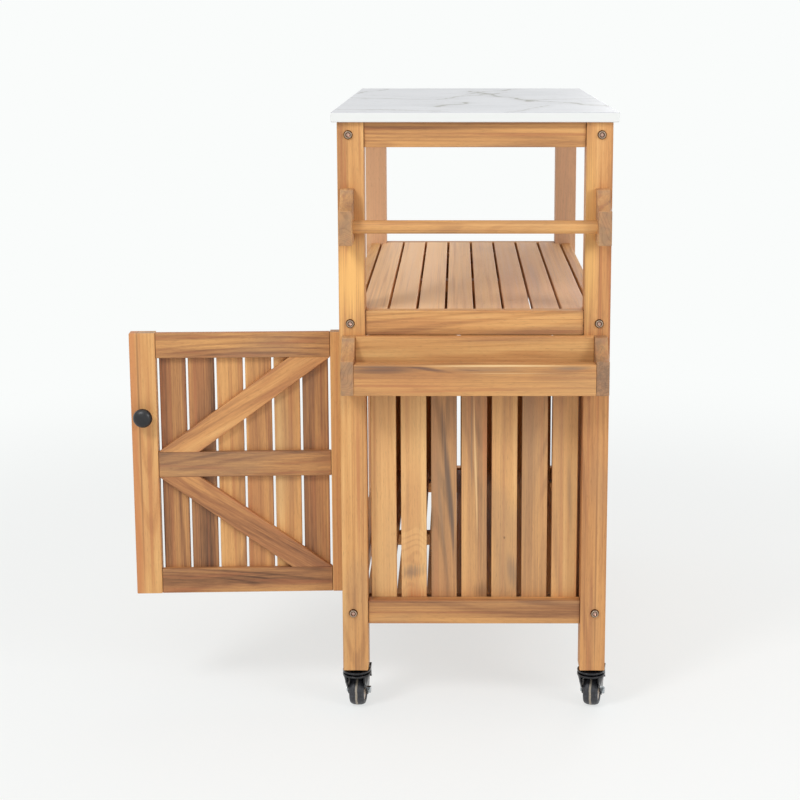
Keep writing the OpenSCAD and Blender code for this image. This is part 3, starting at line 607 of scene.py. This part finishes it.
def vein(g, flat, bend, start, end, width, strength):
    """One vein of the slab: a line with a soft halo, which fades at both ends."""
    run = Vector(end) - Vector(start)
    along = Vector((run.x, run.y, 0.0)) / run.length_squared
    across = Vector((-run.y, run.x, 0.0)) / run.length
    offset = g.vector("SUBTRACT", flat, (start[0], start[1], 0.0))
    share = g.measure("DOT_PRODUCT", offset, tuple(along))
    reach = g.math("ABSOLUTE", g.math("ADD", g.measure("DOT_PRODUCT", offset, tuple(across)), bend))
    outer, inner = VEIN_LINE
    line = g.remap(reach, width * outer, width * inner, 0.0, min(strength * VEIN_GAIN, 1.0))
    halo = g.remap(reach, width * HALO_WIDTH, 0.0, 0.0, strength * HALO_STRENGTH)
    begun = g.remap(share, -VEIN_FADE, VEIN_FADE)
    going = g.remap(share, 1 + VEIN_FADE, 1 - VEIN_FADE)
    return g.math("MULTIPLY", g.math("ADD", line, halo), g.math("MULTIPLY", begun, going))


def marble():
    """The slab: a white marble look with a few long veins and many faint ones."""
    g = graph("marble_look")
    point, normal = g.surface()
    x, y, _ = g.split(g.vector("SUBTRACT", point, tuple(cart_center)))
    flat = g.join(x, y, 0.0)
    warps = [g.math("MULTIPLY", g.math("SUBTRACT", g.noise(flat, *settings), 0.5), reach)
             for *settings, reach in WARPS]
    bend = g.math("ADD", *warps)
    total = 0.0
    for row in VEINS:
        total = g.math("ADD", total, vein(g, flat, bend, *row))
    faint = g.math("ABSOLUTE", g.math("SUBTRACT", g.noise(flat, *FAINT_NOISE), 0.5))
    faint = g.remap(faint, FAINT_WIDTH, 0.0, 0.0, FAINT_STRENGTH)
    weight = g.remap(g.noise(flat, *VEIN_PATCHES), *VEIN_WEIGHT)
    total = g.math("MULTIPLY", g.math("ADD", total, faint), weight)
    total.node.use_clamp = True
    cloud = g.remap(g.noise(flat, *SLAB_CLOUD), *SLAB_DRIFT)
    color = g.mix(total, g.mix(cloud, SLAB_LIGHT, SLAB_DARK), VEIN)
    # Painted light: faces that look sideways are made paler than the top
    side = g.remap(g.split(normal)[2], *PAINTED_SIDE_TURN)
    mottle = g.noise(flat, *SLAB_MOTTLE)
    return g.finish(Base_Color=g.mix(side, color, SLAB_SIDE_PAINTED_LIGHT), Roughness=g.remap(mottle, *SLAB_GLOSS),
                    IOR=1.45)


def skin(g, point, scale, fine_scale, rough):
    """A smooth skin's slow noise and fine noise, and the roughness that follows both."""
    cloud = g.noise(point, scale, *CLOUD)
    grit = g.noise(point, fine_scale, *GRIT)
    drift = g.math("ADD", cloud, g.math("MULTIPLY", grit, 0.5))
    return cloud, grit, g.remap(drift, 0.5, 1.0, *rough)


def plain(name, color, other, scale, rough, metallic=0.0):
    """A metal, paint or plastic whose colour and gloss drift a little and whose skin is slightly uneven."""
    g = graph(name)
    cloud, grit, roughness = skin(g, g.surface()[0], scale, scale * GRIT_RATIO, rough)
    return g.finish(Base_Color=g.mix(g.remap(cloud, *SPREAD), color, other), Roughness=roughness,
                    Metallic=metallic, IOR=1.5, Normal=g.bump(grit, 0.4, 0.0001))


def caster_point(g, corner):
    """Coordinates beside a caster's wheel: X forwards, Y along its axle, Z up, from the wheel's centre."""
    joint = joints[corner + "_wheel_spin"]
    axis = Vector(joint["axis"])
    angle = math.atan2(axis.y, axis.x) - math.pi / 2
    return g.place(g.surface()[0], joint["pos_m"], (0, 0, angle))


def fork_finish(corner):
    """Glossy black plating, with the bare steel of the axle's ends outside the cheeks."""
    g = graph(corner + "_fork_plating")
    local = caster_point(g, corner)
    x, y, z = g.split(local)
    outside = g.remap(g.math("ABSOLUTE", y), *NUT_START)
    nut = g.math("MULTIPLY", g.remap(g.radius(x, z), *NUT_EDGE), outside)
    cloud, grit, roughness = skin(g, local, 60.0, 700.0, (0.14, 0.26))
    black = g.mix(g.remap(cloud, *SPREAD), BLACK, BLACK_SHEEN)
    steel = g.mix(g.remap(grit, *SPREAD), AXLE_LIGHT, AXLE_DARK)
    return g.finish(Base_Color=g.mix(nut, black, steel), Roughness=roughness, Metallic=nut,
                    Normal=g.bump(grit, 0.25, 0.0001))


def tyre_finish(corner):
    """Dark worn tread with fine marks round it, and a scuffed band at the middle."""
    g = graph(corner + "_tread")
    local = caster_point(g, corner)
    x, y, z = g.split(local)
    turn = g.math("ARCTAN2", z, x)
    round_marks = g.noise(g.join(g.math("MULTIPLY", y, TREAD_MARKS), turn, 0.0), 1.0, *GRIT)
    dust = g.noise(local, 180.0, 4.0, 0.65)
    color = g.mix(g.remap(dust, 0.40, 0.72), TREAD, TREAD_DUST)
    color = g.mix(g.remap(round_marks, 0.45, 0.8, 0.0, 0.4), color, TREAD_SCUFF)
    wander = g.math("MULTIPLY", g.math("SUBTRACT", g.noise(local, 90.0), 0.5), TREAD_WANDER)
    line = g.remap(g.math("ABSOLUTE", g.math("ADD", y, wander)), *TREAD_BAND)
    worn = g.math("MULTIPLY", line, g.remap(dust, 0.25, 0.55, 0.55, 1.0))
    color = g.mix(worn, color, TREAD_LINE)
    relief = g.bump(g.math("ADD", round_marks, g.math("MULTIPLY", line, 0.8)), 0.5, 0.0003)
    return g.finish(Base_Color=color, Roughness=g.remap(dust, 0.3, 0.8, 0.38, 0.6), Normal=relief)


def bolt_finish():
    """Antique bronze, with painted highlight rings round the middle of the nearest bolt head."""
    g = graph("antique_bronze")
    point = g.surface()[0]
    y, z = g.split(g.vector("SUBTRACT", point, cart_foot))[1:3]
    lowest, highest = low("frame_bolts"), high("frame_bolts")
    side = (highest.y - lowest.y) / 2 - BOLT_HEAD / 2
    across = g.math("SUBTRACT", g.math("ABSOLUTE", y), side)
    up = 1.0
    for level in (highest.z - BOLT_HEAD / 2, middle("middle_end_rails").z, lowest.z + BOLT_HEAD / 2):
        up = g.math("MINIMUM", up, g.math("ABSOLUTE", g.math("SUBTRACT", z, level)))
    # Painted highlights in rings round the nearest bolt head's middle
    rings = g.ramp(g.math("DIVIDE", g.radius(across, up), BOLT_HEAD / 2), BOLT_HIGHLIGHT_STOPS)
    cloud = g.noise(point, 700.0, *CLOUD)
    color = g.mix(g.remap(cloud, 0.35, 0.7, 0.0, 0.45), rings, BOLT_TARNISH)
    return g.finish(Base_Color=color, Roughness=g.remap(cloud, *SPREAD, 0.22, 0.36), Metallic=1.0,
                    Normal=g.bump(cloud, 0.3, 0.0001))


def assign(material, *names):
    """Gives CAD nodes their material."""
    for name in names:
        slots = nodes[name].data.materials
        slots.clear()
        slots.append(material)


def ease(names, width, segments, angle=35):
    """Rounds the sharp edges of CAD nodes."""
    for name in names:
        piece = nodes[name]
        weld = piece.modifiers.new("weld", "WELD")
        weld.merge_threshold = WELD
        flat = piece.modifiers.new("flat", "DECIMATE")
        flat.decimate_type = "DISSOLVE"
        flat.angle_limit = FLATTEN
        bevel = piece.modifiers.new("ease", "BEVEL")
        bevel.width = width
        bevel.segments = segments
        bevel.limit_method = "ANGLE"
        bevel.angle_limit = math.radians(angle)
        bevel.use_clamp_overlap = False
        normals = piece.modifiers.new("normals", "WEIGHTED_NORMAL")
        normals.weight = NORMAL_WEIGHT


def put(name, data):
    """A new object in the scene."""
    made = bpy.data.objects.new(name, data)
    bpy.context.scene.collection.objects.link(made)
    return made


def add_camera():
    """The camera stands square on to the rack end, where the photograph's stood."""
    camera = bpy.data.cameras.new("camera")
    camera.lens = CAMERA_LENS
    camera.sensor_width = CAMERA_SENSOR
    camera.shift_x, camera.shift_y = CAMERA_SHIFT
    stand = put("camera", camera)
    stand.location = cart_center + Vector((*CAMERA_OFFSET, 0.0))
    stand.location.z = CAMERA_HEIGHT
    level = math.cos(CAMERA_PITCH)
    aim = Vector((-math.cos(CAMERA_YAW) * level, -math.sin(CAMERA_YAW) * level, -math.sin(CAMERA_PITCH)))
    stand.rotation_euler = aim.to_track_quat("-Z", "Y").to_euler()
    bpy.context.scene.camera = stand


def add_light(name, place, size, power):
    """A soft round lamp that aims at the cart."""
    lamp = bpy.data.lights.new(name, "AREA")
    lamp.shape = "DISK"
    lamp.size = size
    lamp.energy = power
    stand = put(name, lamp)
    stand.location = cart_center + Vector(place)
    stand.location.z = place[2]
    aim = cart_center + Vector((0, 0, -LAMP_AIM)) - stand.location
    stand.rotation_euler = aim.to_track_quat("-Z", "Y").to_euler()


def seen_rays(g):
    """1 for rays from the camera and for those that gloss or glass sends on, and 0 for all others."""
    path = g.add("LightPath").outputs
    mirrored = g.math("MAXIMUM", path["Is Glossy Ray"], path["Is Transmission Ray"])
    return g.math("MAXIMUM", path["Is Camera Ray"], mirrored)


def add_world():
    """Even light from all round, which the camera and the gloss see as the backdrop's white."""
    world = bpy.data.worlds.new("studio")
    bpy.context.scene.world = world
    g = Graph(world)
    light = g.add("Background", ((1.0, 1.0, 1.0, 1.0), WORLD_LIGHT))
    shown = g.add("Background", (BACKDROP, 1.0))
    blend = g.add("MixShader", (seen_rays(g), light.outputs[0], shown.outputs[0]))
    g.add("OutputWorld", (blend.outputs[0],))


def add_floor():
    """A pale floor that takes the cart's shadow and turns into the backdrop's white further out."""
    mesh = bpy.data.meshes.new("floor")
    corners = [(-FLOOR_REACH, -FLOOR_REACH, 0), (FLOOR_REACH, -FLOOR_REACH, 0),
               (FLOOR_REACH, FLOOR_REACH, 0), (-FLOOR_REACH, FLOOR_REACH, 0)]
    mesh.from_pydata(corners, [], [(0, 1, 2, 3)])
    floor = put("floor", mesh)
    g = graph("studio_floor")
    distance = g.measure("LENGTH", g.vector("SUBTRACT", g.surface()[0], cart_foot))
    paper = g.add("BsdfDiffuse", (PAPER,))
    glow = g.add("Emission", (BACKDROP, 1.0))
    share = g.math("MULTIPLY", g.remap(distance, *FLOOR_FADE, FLOOR_GLOW, 1.0), seen_rays(g))
    blend = g.add("MixShader", (share, paper.outputs[0], glow.outputs[0]))
    g.add("OutputMaterial", (blend.outputs[0],))
    mesh.materials.append(g.owner)


def door_frame(side):
    """A door's turned frame, as (location, angle): it starts at the hinge pin and X runs along the door."""
    pin = Vector(joints[side + "_door_swing"]["pos_m"])
    run = middle(side + "_door_rails") - pin
    return (pin.x, pin.y, 0.0), math.atan2(run.y, run.x)


def door_out(side):
    """The direction in which a door's face looks."""
    angle = door_frame(side)[1]
    across = Vector((-math.sin(angle), math.cos(angle), 0.0))
    lean = middle(side + "_door_knob") - middle(side + "_door_stiles")
    return across if lean.dot(across) > 0 else -across


def row_of(name, axis, count):
    """The (axis, start, pitch) that tells the boards of a row apart, whose gaps are alike."""
    i = "XYZ".index(axis)
    start, end = (low(name) - cart_center)[i], (high(name) - cart_center)[i]
    pitch = (end - start - BOARD_WIDTH) / (count - 1)
    return axis, start - (pitch - BOARD_WIDTH) / 2, pitch


def joint_shade_lines(axis, places):
    """Painted shade lines where boards meet, at these places along an axis."""
    marks = []
    for place in places:
        spot, reach = [0, 0, 0], [50, 50, 50]
        spot["XYZ".index(axis)] = place
        reach["XYZ".index(axis)] = JOINT_SHADE_WIDTH
        marks.append((tuple(spot), tuple(reach), 0.0, UMBER, 0.85))
    return marks


def paint_frame():
    for name, seed, tone, tint, share in LEGS:
        marks = LEG_MARKS.get(name, ())
        assign(timber(name + "_timber", "Z", tone, 0.0, seed=seed, marks=marks, figure=1.05, tint=tint,
                      tint_share=share), name)
    assign(timber("post_timber", "Z", 0.4, seed=2.2), "center_post")
    # Painted shade lines where the end rails meet the legs
    lines = joint_shade_lines("Y", (-LEG_INNER, LEG_INNER))
    for name, seed, tone in RAILS:
        assign(timber(name + "_end_timber", "Y", tone, 0.02, board=BY_END, seed=seed, marks=lines),
               name + "_end_rails")
        paler = tone - LONG_RAIL_PALER
        assign(timber(name + "_long_timber", "X", paler, 0.08, board=BY_SIDE, seed=seed + 7),
               name + "_front_rail", name + "_back_rail")


def paint_shelves():
    tones = (0.10, -0.12, -0.06, 0.00, 0.06, 0.34, 0.36, 0.40)
    # A painted pool of light over the shelf's slats on the -Y side
    glow = ((0, -0.095, high("shelf_slats").z), (2, 0.085, 1), 0.0, SHELF_PAINTED_LIGHT, 0.75)
    row = row_of("shelf_slats", "Y", 8)
    assign(timber("shelf_timber", "X", board=row, tones=tones, spread=0.0, seed=21.0, tint=PINKISH,
                  tint_share=0.55, marks=(glow,)), "shelf_slats")
    row = row_of("floor_slats", "Y", 7)
    assign(timber("floor_timber", "X", 0.5, 0.15, board=row, seed=31.0), "floor_slats")
    assign(timber("batten_timber", "Y", 0.4, 0.1, board=BATTEN_ROW, seed=61.0), "battens")


def paint_panels():
    row = row_of("right_panel_slats", "Y", 7)
    tones = (0.10, 0.15, 0.73, 0.54, 0.39, 0.58, 0.26)
    assign(timber("right_panel_timber", "Z", board=row, tones=tones, spread=0.0, seed=41.0, tint=SAND,
                  tint_share=0.25, marks=PANEL_MARKS, arches=PANEL_ARCHES), "right_panel_slats")
    assign(timber("left_panel_timber", "Z", 0.42, 0.18, board=row, seed=47.0), "left_panel_slats")
    row = row_of("back_panel_slats", "X", 16)
    assign(timber("back_panel_timber", "Z", 0.42, 0.18, board=row, seed=53.0), "back_panel_slats")


def paint_rack():
    # Painted shade over the +Y bracket beside the spice rack's front board
    bracket_painted_shade = ((0, 0.185, middle("spice_front_board").z), (1, 0.035, 0.070), 0.0, PAINTED_SHADE, 0.75)
    assign(timber("bracket_timber", "X", board=BY_SIDE, tones=(0.42, 0.44), spread=0.0, seed=71.0,
                  tint=GREY_BROWN, tint_share=0.3, marks=(bracket_painted_shade,)), "rack_brackets")
    assign(timber("rod_timber", "Y", 0.46, 0.0, seed=77.0), "towel_rod")
    top = high("spice_front_board").z
    marks = [((x, y, top + z), reach, lean, color, strength)
             for (x, y, z), reach, lean, color, strength in RACK_MARKS]
    assign(timber("rack_front_timber", "Y", 0.58, 0.0, seed=81.0, marks=marks, figure=0.9),
           "spice_front_board")
    assign(timber("rack_floor_timber", "Y", 0.46, 0.0, seed=86.0), "spice_floor_board")
    assign(timber("rack_back_timber", "Y", 0.22, 0.0, seed=91.0), "spice_back_board")


def paint_door(side, seed):
    place = door_frame(side)
    prefix = side + "_door_"
    level = middle(prefix + "stiles").z
    stripes = (((0.350, 0, level), (0.013, 1, 0.9), 0.0, ROSE, 0.75),
               ((0.3405, 0, level + 0.1), (0.0025, 1, 0.35), 0.0, BROWN, 0.8))
    assign(timber(prefix + "stile_timber", "Z", 0.26, 0.02, board=STILE_ROW, seed=seed, door=place,
                  marks=stripes, figure=0.6), prefix + "stiles")
    # The rails get painted shade lines where they meet the stiles
    assign(timber(prefix + "rail_timber", "X", tones=(0.63, 0.65, 0.60), spread=0.0,
                  board=("Z", level + DOOR_RAIL_START, DOOR_RAIL_PITCH), seed=seed + 3, door=place,
                  marks=joint_shade_lines("X", DOOR_JOINTS), figure=0.75), prefix + "rails")
    assign(timber(prefix + "brace_timber", "X", tones=(0.74, 0.40), spread=0.0,
                  board=("Z", level - 1.0, 1.0), seed=seed + 5, door=place, fold=level, tilt=BRACE_LEAN,
                  tint=ROSE, tint_share=0.2), prefix + "braces")
    assign(timber(prefix + "slat_timber", "Z", board=("X", DOOR_SLAT_START, DOOR_SLAT_PITCH),
                  tones=(0.68, 0.28, 0.50, 0.42, 0.67, 0.80), spread=0.0, seed=seed + 8, door=place),
           prefix + "slats")


def lathe(name, profile, origin, axis, material, body, ring=False, steps=96):
    """A turned piece: a profile of (radius, height) points round an axis, which closes if it is a ring."""
    turn = Vector(axis).normalized().to_track_quat("Z", "Y").to_matrix()
    mesh = bmesh.new()
    angles = [math.tau * i / steps for i in range(steps)]
    rows = []
    for radius, height in profile:
        spots = [(0, 0)]
        if radius:
            spots = [(radius * math.cos(angle), radius * math.sin(angle)) for angle in angles]
        rows.append([mesh.verts.new(Vector(origin) + turn @ Vector((x, y, height))) for x, y in spots])
    for a, b in zip(rows, rows[1:] + (rows[:1] if ring else [])):
        for i in range(steps):
            j = (i + 1) % steps
            corners = [a[i % len(a)], a[j % len(a)], b[j % len(b)], b[i % len(b)]]
            mesh.faces.new(list(dict.fromkeys(corners)))
    bmesh.ops.recalc_face_normals(mesh, faces=mesh.faces)
    data = bpy.data.meshes.new(name)
    mesh.to_mesh(data)
    mesh.free()
    data.shade_smooth()
    data.set_sharp_from_angle(angle=SHARP_ANGLE)
    data.materials.append(material)
    piece = put(name, data)
    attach(piece, body)
    return piece


def knob_profile():
    """A knob's outline from its foot to its tip, as (radius, height)."""
    profile = [(radius * MM, height * MM) for radius, height in KNOB_NECK]
    for i in range(KNOB_STEPS):
        angle = math.pi / 2 * i / KNOB_STEPS
        profile.append((KNOB_RADIUS * math.cos(angle) ** KNOB_POWER,
                        KNOB_CAP + (KNOB_HEIGHT - KNOB_CAP) * math.sin(angle)))
    return profile + [(0.0, KNOB_HEIGHT)]


def screw_profile():
    """A screw head's outline from the timber outwards: an upright rim, then a dome."""
    dome = [(SCREW_RADIUS, 0.0), (SCREW_RADIUS, SCREW_HEIGHT * SCREW_RIM)]
    for angle in SCREW_DOME:
        share = SCREW_RIM + (1 - SCREW_RIM) * math.sin(angle)
        dome.append((SCREW_RADIUS * math.cos(angle), SCREW_HEIGHT * share))
    return dome + [(0.0, SCREW_HEIGHT)]


def add_knob(side, finish, screw_finish):
    out = door_out(side)
    tip = middle(side + "_door_knob") + out * KNOB_LENGTH / 2
    face = tip - out * KNOB_HEIGHT
    back = tip - out * (KNOB_LENGTH - SCREW_HEIGHT)
    knob = lathe(side + "_knob", knob_profile(), face, out, finish, side + "_door")
    screw = lathe(side + "_knob_screw", screw_profile(), back, -out, screw_finish, side + "_door", steps=32)
    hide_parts(side + "_door_knob")


def add_tyre(corner):
    joint = joints[corner + "_wheel_spin"]
    radius = (high(corner + "_tyre").z - low(corner + "_tyre").z) / 2
    half = TYRE_WIDTH / 2
    shape = [(HUB_RADIUS + out * MM, half - side * MM) for out, side in TYRE_FOOT]
    shape += [(radius - drop * MM, half - side * MM) for drop, side in TYRE_SHOULDER]
    shape += [(radius - drop * MM, reach * MM) for drop, reach in TYRE_RIB]
    profile = shape + [(r, -h) for r, h in reversed(shape)]
    tyre = lathe(corner + "_tread", profile, joint["pos_m"], joint["axis"], tyre_finish(corner),
                 corner + "_wheel", ring=True)
    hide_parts(corner + "_tyre")


def paint_metal():
    steel = plain("zinc_steel", ZINC_LIGHT, ZINC_DARK, 220.0, (0.22, 0.38), 1.0)
    black = plain("black_metal", BLACK, BLACK_SHEEN, 90.0, (0.14, 0.26))
    knob = plain("black_knob", KNOB_BLACK, KNOB_SHEEN, 120.0, (0.32, 0.40))
    catch = plain("black_plastic", CATCH_GREY, CATCH_SHEEN, 150.0, (0.45, 0.6))
    cream = plain("cream_plastic", HUB_LIGHT, HUB_DARK, 70.0, (0.26, 0.42))
    assign(bolt_finish(), "frame_bolts")
    assign(steel, "cross_dowel_nuts", "right_door_strike", "left_door_strike")
    assign(black, "leg_hinges", "right_door_hinges", "left_door_hinges", "caster_stems",
           "front_right_pedal", "back_right_pedal")
    for side in DOORS:
        assign(knob, side + "_door_knob")
        add_knob(side, knob, steel)
    assign(catch, "magnetic_catches")
    for corner in CASTERS:
        assign(fork_finish(corner), corner + "_fork")
        assign(catch, corner + "_tyre")
        add_tyre(corner)
        assign(cream, corner + "_hub")


add_camera()
add_world()
add_floor()
for lamp_row in LAMPS:
    add_light(*lamp_row)

paint_frame()
paint_shelves()
paint_panels()
paint_rack()
paint_door("right", 101.0)
paint_door("left", 131.0)
paint_metal()
assign(marble(), "worktop")

ease([name for name in nodes if name.endswith(TIMBER_ENDINGS)] + MORE_TIMBER, TIMBER_EDGE, 3)
ease(["worktop"], SLAB_EDGE, 3)
ease(["frame_bolts", "caster_stems"] + [corner + "_fork" for corner in CASTERS], METAL_EDGE, 2, 25)
ease([corner + "_pedal" for corner in BRAKED], PEDAL_EDGE, 2, 25)

view = bpy.context.scene.view_settings
view.view_transform = "Standard"
